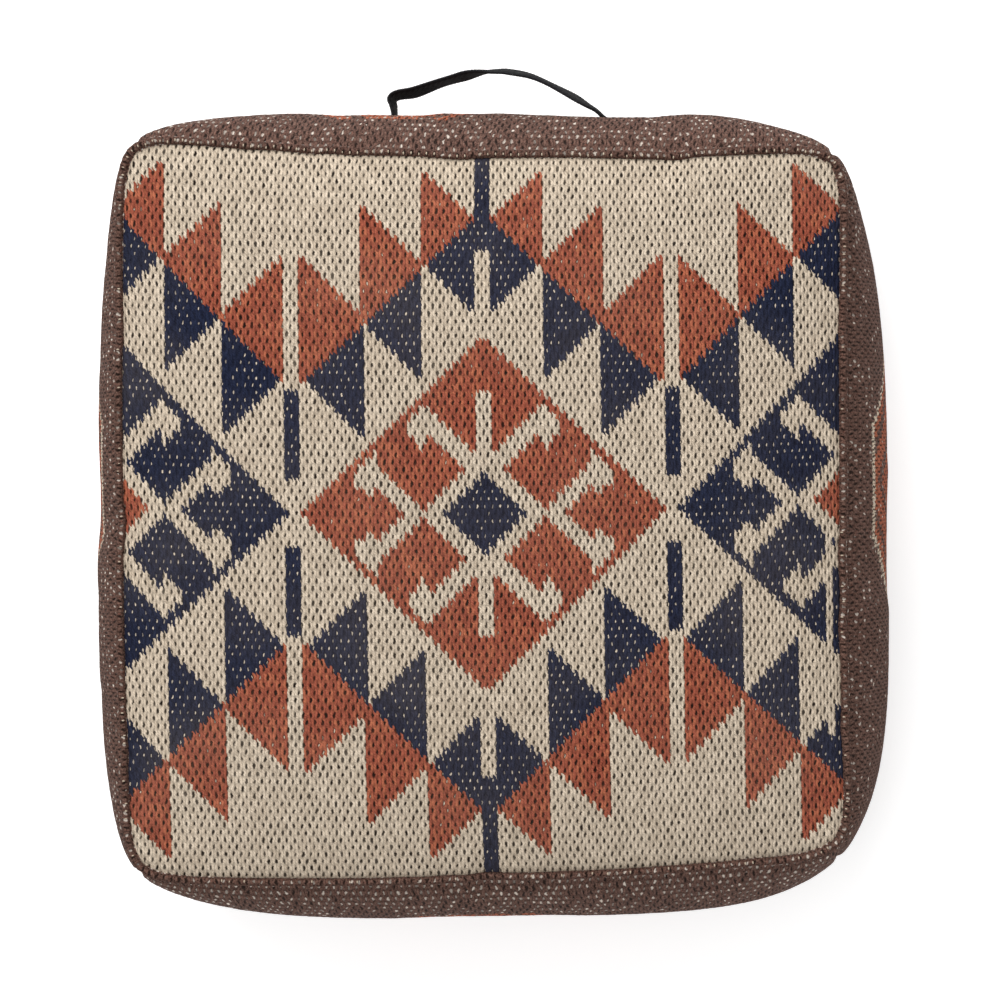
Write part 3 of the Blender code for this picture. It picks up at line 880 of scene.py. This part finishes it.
def alongPath(name, points, spacing, size, material, jitter=0.0, keep=1.0, seed=1):
    # Small rounded bodies along a path: stitches or pips. Size is long, wide, high
    values = {"Spacing": spacing, "Long": size[0], "Wide": size[1], "High": size[2],
              "Jitter": jitter, "Keep": keep}
    tree, ids, start, add, close = nodeTree(name, values)
    curve = add("GeometryNodeMeshToCurve", values={0: start.outputs[0]})
    even = add("GeometryNodeCurveToPoints", {"mode": "LENGTH"}, {0: curve.outputs[0], "Length": "Spacing"})
    chance = add("FunctionNodeRandomValue", {"data_type": "BOOLEAN"}, {
        "Probability": "Keep", "Seed": seed})
    body = add("GeometryNodeMeshUVSphere", values={"Segments": 8, "Rings": 5, "Radius": 0.5})
    sized = add("ShaderNodeCombineXYZ", values={0: "Wide", 1: "High", 2: "Long"})
    shaped = add("GeometryNodeTransform", values={0: body.outputs[0], "Scale": sized.outputs[0]})
    placed = add("GeometryNodeInstanceOnPoints", values={
        0: even.outputs[0], "Selection": chance.outputs[3], "Instance": shaped.outputs[0],
        "Rotation": even.outputs["Rotation"]})
    spreadOut = add("ShaderNodeMath", {"operation": "MULTIPLY"}, {0: "Jitter", 1: -1.0})
    wander = add("FunctionNodeRandomValue", {"data_type": "FLOAT"}, {
        2: spreadOut.outputs[0], 3: "Jitter", "Seed": seed + 1})
    wanderUp = add("FunctionNodeRandomValue", {"data_type": "FLOAT"}, {
        2: spreadOut.outputs[0], 3: "Jitter", "Seed": seed + 2})
    shift = add("ShaderNodeCombineXYZ", values={0: wander.outputs[1], 1: wanderUp.outputs[1]})
    moved = add("GeometryNodeTranslateInstances", values={
        0: placed.outputs[0], "Translation": shift.outputs[0]})
    close(moved.outputs[0], material)
    return grown(name, points, tree, ids, values)


zipCoil = {"turns": 230, "wire": 0.00036, "insetWide": 0.0008, "insetHigh": 0.0006}


def coilTurns(name, low, high, material):
    # A nylon coil: a flattened helix that fills the box from low to high, with a little to spare
    count = zipCoil["turns"] * 8
    step = np.arange(count + 1) / 8 * 2 * math.pi
    middle = (low + high) / 2
    wide, tall = high.y - low.y - zipCoil["insetWide"], high.z - low.z - zipCoil["insetHigh"]
    points = np.stack([np.linspace(low.x, high.x, count + 1),
                       middle.y + wide / 2 * np.cos(step), middle.z + tall / 2 * np.sin(step)], -1)
    tree, ids, first, add, close = nodeTree(name, ["Wire"])
    curve = add("GeometryNodeMeshToCurve", values={0: first.outputs[0]})
    ring = add("GeometryNodeCurvePrimitiveCircle", values={"Resolution": 5, "Radius": "Wire"})
    solid = add("GeometryNodeCurveToMesh", values={
        0: curve.outputs[0], 1: ring.outputs[0], "Fill Caps": True})
    close(solid.outputs[0], material)
    return grown(name, points, tree, ids, {"Wire": zipCoil["wire"]})


handle = {
    "wide": strapHigh.z - strapLow.z,
    "thick": 0.0029,
    "z": (strapHigh.z + strapLow.z) / 2 - 0.010,
    "left": -0.0700,
    "right": 0.0900,
    "sewn": 0.0320,
    "reach": cadHigh.y - rightHigh.x - middleY,
    "hingeOut": 0.0075,
    "twist": 9.0,           # degrees that the loop leans off upright
    "sag": 0.0020,
    "meshStep": 0.0009,
    "ribPitch": 0.0026,
    "yarnPitch": 0.0028,
    "stitch": (0.0023, 0.0009, 0.0008),
    "stitchSpacing": 0.0026,
}


def surfaceAt(grid, x, z):
    # How far back the side cloth lies at that place
    flat = grid.reshape(-1, 3)
    gap = (flat[:, 0] - x) ** 2 + (flat[:, 2] - z) ** 2
    nearest = np.argsort(gap)[:4]
    weight = 1 / (gap[nearest] + 1e-9)
    return float((flat[nearest, 1] * weight).sum() / weight.sum())


def handleRoute(surface):
    # The webbing's line in plan: sewn end, loop standing off the hinge line, sewn end
    lie = handle["thick"] / 2 + 0.0012
    left, right, sewn = handle["left"], handle["right"], handle["sewn"]
    crown = handle["reach"] - handle["thick"] / 2 - handle["hingeOut"]
    loop = [
        (-0.0712, 0.0008), (-0.0724, 0.0054), (-0.0703, 0.0082), (-0.0655, 0.0097), (-0.0543, 0.0114),
        (-0.0331, 0.0185), (-0.0080, crown - 0.0010), (0.0071, crown), (0.0169, crown - 0.0006),
        (0.0357, 0.0206), (0.0604, 0.0082), (0.0765, -0.0018), (0.0830, -0.0060),
    ]

    def flat(x, more=0.0):
        return x, surfaceAt(surface, x, handle["z"]) + lie + more

    hinge = middleY + cover["bellyHalf"] + handle["hingeOut"]
    start = [flat(left - sewn), flat(left - sewn * 0.5), flat(left - 0.005), flat(left - 0.0005, 0.0022)]
    end = [flat(right + 0.003, 0.0004), flat(right + sewn * 0.5), flat(right + sewn)]
    return np.array(start + [(x, hinge + out) for x, out in loop] + end)


def makeStrap(surface, material):
    route = refine(handleRoute(surface), 900)
    length = np.concatenate([[0], np.cumsum(np.linalg.norm(np.diff(route, axis=0), axis=1))])
    count = int(length[-1] / handle["meshStep"])
    even = np.linspace(0, length[-1], count)
    line = np.stack([np.interp(even, length, route[:, k]) for k in range(2)], -1)
    tangent = np.gradient(line, axis=0)
    tangent /= np.linalg.norm(tangent, axis=1, keepdims=True)
    normal = np.stack([-tangent[:, 1], tangent[:, 0]], -1)
    side = np.array([surfaceAt(surface, x, handle["z"]) for x in line[:, 0]])
    out = line[:, 1] - side
    free = smooth((out - 0.006) / 0.012)
    share = even / even[-1]
    lean = 0.9 - 1.9 * smooth((share - 0.40) / 0.10) + 0.25 * np.sin(share * 31.0)
    twist = math.radians(handle["twist"]) * free * lean
    sag = -handle["sag"] * free
    # once round the webbing's section: outer face, edge, inner face, edge
    steps = 30
    flatWay = np.linspace(-1, 1, steps)
    section = [(w, 1.0) for w in flatWay] + [(w, -1.0) for w in flatWay[::-1]]
    rows = []
    for w, face in section:
        bulge = (1 - abs(w) ** 10) ** 0.5
        chevron = (abs(w * 6) % 2 - 1) * 3.0
        ridge = 0.00012 * np.sin(even * 2 * math.pi / handle["ribPitch"] + chevron)
        offset = face * (handle["thick"] / 2 * max(bulge, 0.25) + ridge)
        height = w * handle["wide"] / 2
        bend = np.sin(twist) * height
        x = line[:, 0] + normal[:, 0] * (offset + bend)
        y = line[:, 1] + normal[:, 1] * (offset + bend)
        z = handle["z"] + height * np.cos(twist) + sag
        flatten = 1 - smooth((out - 0.002) / 0.006)
        dip = np.array([surfaceAt(surface, px, handle["z"] + height) for px in line[::12, 0]])
        dip = np.interp(np.arange(count), np.arange(0, count, 12), dip) - side
        rows.append(np.stack([x, y + dip * flatten, z], -1))
    grid = np.stack(rows, 1)
    grid = np.concatenate([grid, grid[:, :1]], 1)
    across = np.array([w * 4.4 for w, _ in section] + [section[0][0] * 4.4])
    along = even / handle["yarnPitch"]
    uv = np.stack(np.broadcast_arrays(across[None, :], along[:, None]), -1).copy()
    strap = gridMesh("handleWebbing", grid, uv, material)
    welded(strap, 0.00002, capped=True)
    return strap, length[-1]


def boxStitch(name, surface, start, stop, material):
    # Box-and-cross sewing over one end of the webbing
    margin = 0.0040
    high = handle["wide"] / 2 - margin
    near, far = start + margin, stop - margin
    corners = [(near, -high), (far, -high), (far, high), (near, high)]
    runs = [(0, 1), (1, 2), (2, 3), (3, 0), (0, 2), (1, 3)]
    pieces = []
    for number, (a, b) in enumerate(runs):
        points = []
        for s in np.linspace(0, 1, 24):
            x = corners[a][0] * (1 - s) + corners[b][0] * s
            z = handle["z"] + corners[a][1] * (1 - s) + corners[b][1] * s
            points.append((x, surfaceAt(surface, x, z) + handle["thick"] + 0.0013, z))
        run = alongPath(f"{name}Run{number}", points, handle["stitchSpacing"], handle["stitch"], material)
        pieces.append(run)
    return joined(name, pieces)


def sewingPatch(end, surface, material):
    # A strip of cloth behind the side, for the handle's sewing
    way = -1 if end == "left" else 1
    line = handle[end] + way * np.linspace(-0.006, handle["sewn"] + 0.004, 12)
    rise = handle["z"] + np.linspace(-0.018, 0.018, 9)
    grid = np.array([[(x, surfaceAt(surface, x, z) - 0.0028, z) for z in rise] for x in line])
    grid = grid if way < 0 else grid[::-1]
    sheetUv = grid[..., (0, 2)] / weave["grainPitch"]
    return gridMesh("handlePatch" + end.capitalize(), grid, sheetUv, material)


def joined(name, pieces):
    # Several meshes of one body as one object
    bm = bmesh.new()
    for piece in pieces:
        bm.from_mesh(piece.data)
    mesh = bpy.data.meshes.new(name)
    bm.to_mesh(mesh)
    bm.free()
    for material in pieces[0].data.materials:
        mesh.materials.append(material)
    for piece in pieces:
        bpy.data.objects.remove(piece)
    mesh.shade_smooth()
    return linked(name, mesh)


def makeBase(grid, material):
    # The base in two halves, with folded edges along the zip slot
    slotEdge = abs(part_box("base_panel_front")[1].y - middleY)
    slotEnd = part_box("zip_end_right")[1].x
    pieces = []
    for name, way in (("baseClothFront", -1), ("baseClothBack", 1)):
        fine = refineGrid(grid, 240, 241)
        fine[..., 2] = np.maximum(fine[..., 2], cover["floorGap"])
        y = fine[120, :, 1] - middleY
        keep = [j for j in range(241) if way * float(y[j]) > slotEdge - 0.0005]
        part = fine[:, keep].copy()
        hem = 0 if way > 0 else -1
        shut = smooth((np.abs(part[:, hem, 0]) - slotEnd + 0.022) / 0.020)
        part[:, hem, 1] = middleY + way * (slotEdge * (1 - shut) + 0.0002)
        fold = part[:, [hem]].copy()
        fold[..., 2] += 0.0022
        deep = fold.copy()
        deep[..., 1] += way * 0.006
        deep[..., 2] += 0.0004
        order = [deep, fold, part] if way > 0 else [part, fold, deep]
        part = np.concatenate(order, 1)
        uv = np.stack([part[..., 0], part[..., 1]], -1) / weave["grainPitch"]
        pieces.append(gridMesh(name, part[:, ::-1], uv[:, ::-1], material))
    return pieces


def dress(node, material):
    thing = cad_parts[node]
    thing.data.materials.clear()
    thing.data.materials.append(material)


def sideRing(grids):
    # The four sides as one closed band, anticlockwise
    parts = [refineGrid(grids[side], 41, 17) for side in ("right", "back", "left", "front")]
    ring = np.concatenate([part[:-1] for part in parts])
    return np.concatenate([ring, ring[:1]])


def innerSlab(name, points, near, deep, material):
    # A closed layer inside the cover, between two depths below its surface
    normals = normalsOf(points)
    if name.endswith("Wrap"):
        normals[0] = normals[-1] = (normals[0] + normals[-1]) / 2
        points, normals = points[:, 1:-1], normals[:, 1:-1]
    elif name.endswith("Base"):
        normals = -normals
    outer, inner = points - normals * near, points - normals * deep
    if name.endswith("Base"):
        outer, inner = outer[:, ::-1], inner[:, ::-1]
    bm = bmesh.new()
    for grid, flip in ((outer, False), (inner, True)):
        rows = [[bm.verts.new(p) for p in row] for row in grid]
        for i in range(len(rows) - 1):
            for j in range(len(rows[0]) - 1):
                quad = (rows[i][j], rows[i + 1][j], rows[i + 1][j + 1], rows[i][j + 1])
                bm.faces.new(quad[::-1] if flip else quad)
    bmesh.ops.remove_doubles(bm, verts=bm.verts, dist=0.0002)
    edges = [edge for edge in bm.edges if edge.is_boundary]
    if name.endswith("Wrap"):
        bridgeBands(bm, edges)
    else:
        bmesh.ops.bridge_loops(bm, edges=edges)
    bmesh.ops.recalc_face_normals(bm, faces=bm.faces)
    mesh = bpy.data.meshes.new(name)
    bm.to_mesh(mesh)
    bm.free()
    mesh.materials.append(material)
    mesh.shade_smooth()
    return linked(name, mesh)


def bridgeBands(bm, edges):
    # Closes a band's two rims, the upper and the lower one
    middle = sum(edge.verts[0].co.z for edge in edges) / len(edges)
    for upper in (True, False):
        bmesh.ops.bridge_loops(bm, edges=[e for e in edges if (e.verts[0].co.z > middle) == upper])


print("cover: shaping")
grids = cageGrids()
grids = simulateCover(grids)
grids["back"] = dimpled(grids["back"])

print("materials")
faceCloth = faceMaterial()
sideCloths = {
    "right": sideMaterial("woven side right", 4.4, -19.4, 1.0, 0.14),
    "left": sideMaterial("woven side left", -5.9, -18.3, 1.0, 0.30),
    "front": sideMaterial("woven side front", -1.8, -19.0, 0.0, 0.72),
    "back": sideMaterial("woven side back", 12.0, -17.4, 0.0, 0.46),
}
baseCloth = plainWeaveMaterial("base canvas", (0.045, 0.028, 0.023), (0.135, 0.090, 0.076), 0.0024)
tapeCloth = plainWeaveMaterial("zip tape", (0.030, 0.020, 0.017), (0.080, 0.058, 0.050), 0.0012)
calico = plainWeaveMaterial("calico", (0.50, 0.47, 0.39), colours["calico"], 0.0016)
rollCloth = sideMaterial("seam edge", 0.0, -200.0, 0.0, 0.35)
yarn = {"finish": (0.85, 0.0, 0.1), "grain": (420.0, 3.0), "relief": (0.0003, 0.6)}
paleYarn = grainyMaterial("pale yarn", ((0.36, 0.28, 0.20), (0.66, 0.56, 0.43)), **yarn)
blackThread = grainyMaterial("black thread", ((0.008, 0.008, 0.009), (0.045, 0.045, 0.05)), **yarn)
webbing = webbingMaterial()
metal = grainyMaterial("zip metal", ((0.16, 0.11, 0.06), colours["brass"]), (0.35, 1.0), (380.0, 4.0),
                       gloss=(0.25, 0.35), relief=(0.0001, 0.4))
nylon = grainyMaterial("zip coil", ((0.030, 0.020, 0.017), (0.070, 0.050, 0.042)), (0.45,), (300.0, 2.0),
                       gloss=(0.35, 0.25))
soft = {"finish": (0.95, 0.0, 0.1), "relief": (0.0020, 0.8)}
fluff = grainyMaterial("wadding", ((0.74, 0.74, 0.72), (0.92, 0.92, 0.90)), grain=(90.0, 4.0, 0.65), **soft)
foam = grainyMaterial("foam", ((0.60, 0.55, 0.38), (0.84, 0.79, 0.60)), grain=(700.0, 4.0, 0.65), **soft)

print("cover: weaving")
face = makeFace(grids["top"], faceCloth)
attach(face, "cover")
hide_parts("top_panel")
for side in sideTurns:
    panel = makeSide(side, grids[side], sideCloths[side])
    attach(panel, "cover")
    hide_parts("side_panel_" + side)
for panel, half in zip(makeBase(grids["base"], baseCloth), ("front", "back")):
    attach(panel, "cover")
    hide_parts("base_panel_" + half)

print("seams")
for name, node, top in (("topSeam", "top_seam_roll", True), ("baseSeam", "base_seam_roll", False)):
    roll, line, out = makeSeamRoll(name, grids, top, rollCloth)
    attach(roll, "cover")
    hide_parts(node)
    lift = 1 if top else -1
    crest = line + out * (seamRoll["out"] - 0.0006)
    crest[:, 2] += lift * (seamRoll["radius"] - seamRoll["drop"] - 0.0002)
    quarter = len(crest) // 4
    runs = [crest[2 * quarter:3 * quarter:2], np.roll(crest, -3 * quarter, 0)[:3 * quarter:2]]
    for run, keep, part in zip(runs, seamRoll["pipsKept"][top], ("Back", "Round")):
        pips = alongPath(name + "Pips" + part, run, weave["grainPitch"], seamRoll["pip"], paleYarn,
                         seamRoll["pipJitter"], keep, seed=11)
        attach(pips, "cover")

print("handle")
strap, strapLength = makeStrap(grids["back"], webbing)
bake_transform(strap)
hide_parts("handle_strap", "handle_end_left", "handle_end_right")
for end, start, stop in (("Left", handle["left"] - handle["sewn"], handle["left"]),
                         ("Right", handle["right"], handle["right"] + handle["sewn"])):
    sewing = boxStitch("handleSewing" + end, grids["back"], start, stop, blackThread)
    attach(sewing, "cover")
    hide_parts("handle_stitch_" + end.lower())

print("zip")
for half in ("front", "back"):
    low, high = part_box("zip_coil_" + half)
    coil = coilTurns("zipCoil" + half.capitalize(), low, high, nylon)
    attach(coil, "cover")
    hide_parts("zip_coil_" + half)
    dress("zip_tape_" + half, tapeCloth)
    dress("zip_facing_" + half, baseCloth)
for node in ("zip_stop_left", "zip_stop_right", "zip_slider", "zip_pull"):
    dress(node, metal)
for node in ("zip_end_left", "zip_end_right"):
    dress(node, baseCloth)

print("filling")
for end in ("left", "right"):
    patch = sewingPatch(end, grids["back"], calico)
    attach(patch, "cover")
    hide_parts("handle_patch_" + end)
panels = {
    "Top": refineGrid(grids["top"], 41, 41),
    "Base": refineGrid(grids["base"], 41, 41),
    "Wrap": sideRing(grids),
}
# how deep each layer starts and ends below the cover; at the base both leave room for the zip
layers = (
    ("liner", 0.0052, 0.0060, calico, "liner_cloth"),
    ("wadding", 0.0100, 0.0290, fluff, "wadding"),
)
zipRoom = 0.0045
for layer, near, deep, material, slot in layers:
    for part, points in panels.items():
        lift = zipRoom if part == "Base" else 0.0
        piece = innerSlab(layer + part, points, near + lift, deep + lift, material)
        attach(piece, "cover")
        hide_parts(f"{layer}_{part.lower()}")
dress("foam_core", foam)

print("stage")
studio = {
    "distance": 2.408,      # of the camera above the crown
    "offsetX": 0.2107,
    "offsetY": 0.0705,
    "aimX": 0.0143,
    "aimY": -0.0047,
    "lens": 120.8,
    "roll": 0.617,
    "ambient": 0.56,
    "floorGlow": 0.46,
}


def makeStage():
    sheet = Sheet("floor", 0.9)
    noise = sheet.noise(sheet.objectPlace(), 3.0, 2.0)
    sheet.feed("Base Color", sheet.mix(noise, (0.94, 0.94, 0.94), (0.96, 0.96, 0.96)))
    sheet.shader.inputs["Emission Color"].default_value = (1.0, 1.0, 1.0, 1.0)
    sheet.shader.inputs["Emission Strength"].default_value = studio["floorGlow"]
    bpy.ops.mesh.primitive_plane_add(size=14.0, location=(0, 0, 0))
    floor = bpy.context.object
    floor.name = "floor"
    floor.data.materials.append(sheet.material)
    world = bpy.data.worlds.new("studio")
    world.use_nodes = True
    world.node_tree.nodes["Background"].inputs[0].default_value = (1.0, 1.0, 1.0, 1.0)
    world.node_tree.nodes["Background"].inputs[1].default_value = studio["ambient"]
    bpy.context.scene.world = world
    lamps = [
        ("key", (-0.65, 2.15, 1.8), 2.6, 70.0),
        ("fill", (-0.5, -0.6, 3.0), 2.4, 16.0),
    ]
    for name, place, size, power in lamps:
        data = bpy.data.lights.new(name, "AREA")
        data.size, data.energy = size, power
        lamp = linked(name, data)
        lamp.location = place
        lamp.rotation_euler = (Vector((0, 0, 0.1)) - Vector(place)).to_track_quat("-Z", "Y").to_euler()


def makeCamera():
    data = bpy.data.cameras.new("camera")
    data.lens = studio["lens"]
    data.clip_start, data.clip_end = 0.05, 50
    camera = linked("camera", data)
    height = cover["crownZ"] + studio["distance"]
    place = Vector((studio["offsetX"], middleY + studio["offsetY"], height))
    aim = Vector((studio["aimX"], studio["aimY"], cover["topSeamZ"]))
    back = (place - aim).normalized()
    right = Vector((0, 1, 0)).cross(back).normalized()
    up = back.cross(right)
    roll = math.radians(studio["roll"])
    turned = right * math.cos(roll) - up * math.sin(roll)
    upright = back.cross(turned)
    camera.location = place
    camera.rotation_mode = "QUATERNION"
    matrix = np.array([turned, upright, back]).T
    camera.rotation_quaternion = Matrix(matrix.tolist()).to_quaternion()
    bpy.context.scene.camera = camera


makeStage()
makeCamera()
bpy.context.scene.view_settings.view_transform = "Standard"

print("webbing length", round(strapLength, 3))
